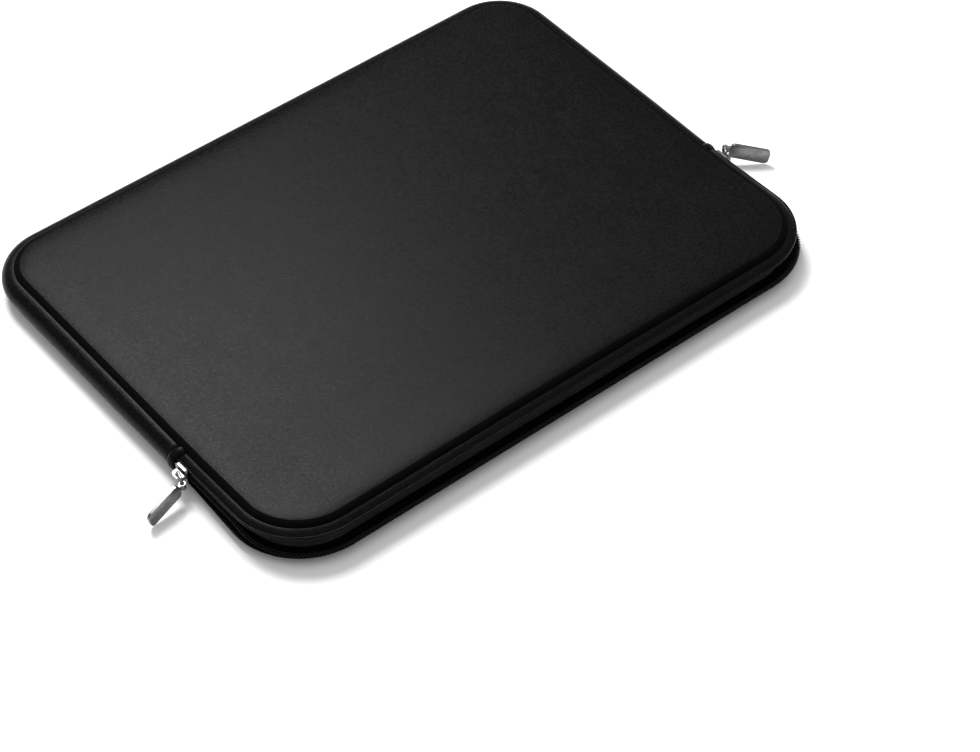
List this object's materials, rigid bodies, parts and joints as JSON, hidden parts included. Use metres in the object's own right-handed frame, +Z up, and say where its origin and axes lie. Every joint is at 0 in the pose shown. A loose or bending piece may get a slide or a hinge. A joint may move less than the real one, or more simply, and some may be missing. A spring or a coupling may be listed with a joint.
{
  "type": "laptop sleeve",
  "caption": "Flat padded neoprene sleeve for a notebook computer, open along one long side, with a zip round its mouth and sliders with swinging pull tabs.",
  "frame": {"origin": "middle of the sleeve's flat underside, on the surface it lies on", "axes": "+X along the long sides, -Y towards the open mouth, +Y the closed back, +Z up out of the top panel"},
  "size_m": [0.4139, 0.2713, 0.0235],
  "materials": {
    "neoprene_jersey": "matte knitted jersey over neoprene foam",
    "plush_lining": "short soft pile",
    "zip_tape": "woven tape",
    "zip_coil": "nylon coil, satin",
    "nickel": "satin nickel plate"
  },
  "bodies": {
    "pocket": {"bottom_panel": "neoprene_jersey", "bottom_lining": "plush_lining", "top_panel_rear": "neoprene_jersey", "top_lining_rear": "plush_lining", "side_band": "neoprene_jersey", "band_lining": "plush_lining", "zip_cuff_left": "neoprene_jersey", "zip_cuff_right": "neoprene_jersey", "upper_lip_rear_left": "neoprene_jersey", "upper_lip_rear_right": "neoprene_jersey", "lower_lip": "neoprene_jersey", "zip_tape_lower": "zip_tape", "zip_coil_lower": "zip_coil"},
    "mouth_flap": {"top_panel_front": "neoprene_jersey", "top_lining_front": "plush_lining", "upper_lip_front": "neoprene_jersey", "zip_tape_upper": "zip_tape", "zip_coil_upper": "zip_coil"},
    "slider_left": {"slider_body_left": "nickel"},
    "link_left": {"pull_link_left": "nickel"},
    "tab_left": {"pull_tab_left": "nickel"},
    "slider_right": {"slider_body_right": "nickel"},
    "link_right": {"pull_link_right": "nickel"},
    "tab_right": {"pull_tab_right": "nickel"}
  },
  "joints": [
    {"name": "mouth_open", "type": "hinge", "parent": "pocket", "child": "mouth_flap", "pos_m": [0, -0.057, 0.0205], "axis": [-1, 0, 0], "range_deg": [-2.5, 24], "stiffness_Nm_per_rad": 0.6, "deforming": ["zip_tape_upper", "zip_coil_upper"]},
    {"name": "slider_left_slide", "type": "slide", "parent": "pocket", "child": "slider_left", "axis": [0, -1, 0], "range_m": [0, 0.03], "deforming": ["zip_tape_lower", "zip_coil_lower"]},
    {"name": "slider_right_slide", "type": "slide", "parent": "pocket", "child": "slider_right", "axis": [0, -1, 0], "range_m": [0, 0.03]},
    {"name": "link_left_swing", "type": "hinge", "parent": "slider_left", "child": "link_left", "pos_m": [-0.182, -0.05, 0.01025], "axis": [0, 0, 1], "range_deg": [-100, 5]},
    {"name": "link_right_swing", "type": "hinge", "parent": "slider_right", "child": "link_right", "pos_m": [0.182, -0.05, 0.01025], "axis": [0, 0, -1], "range_deg": [-25, 50]},
    {"name": "tab_left_swing", "type": "hinge", "parent": "link_left", "child": "tab_left", "pos_m": [-0.18381, -0.05676, 0.01025], "axis": [0, 0, -1], "range_deg": [-80, 58]},
    {"name": "tab_right_swing", "type": "hinge", "parent": "link_right", "child": "tab_right", "pos_m": [0.1865, -0.04464, 0.01025], "axis": [0, 0, 1], "range_deg": [-28, 122]}
  ]
}
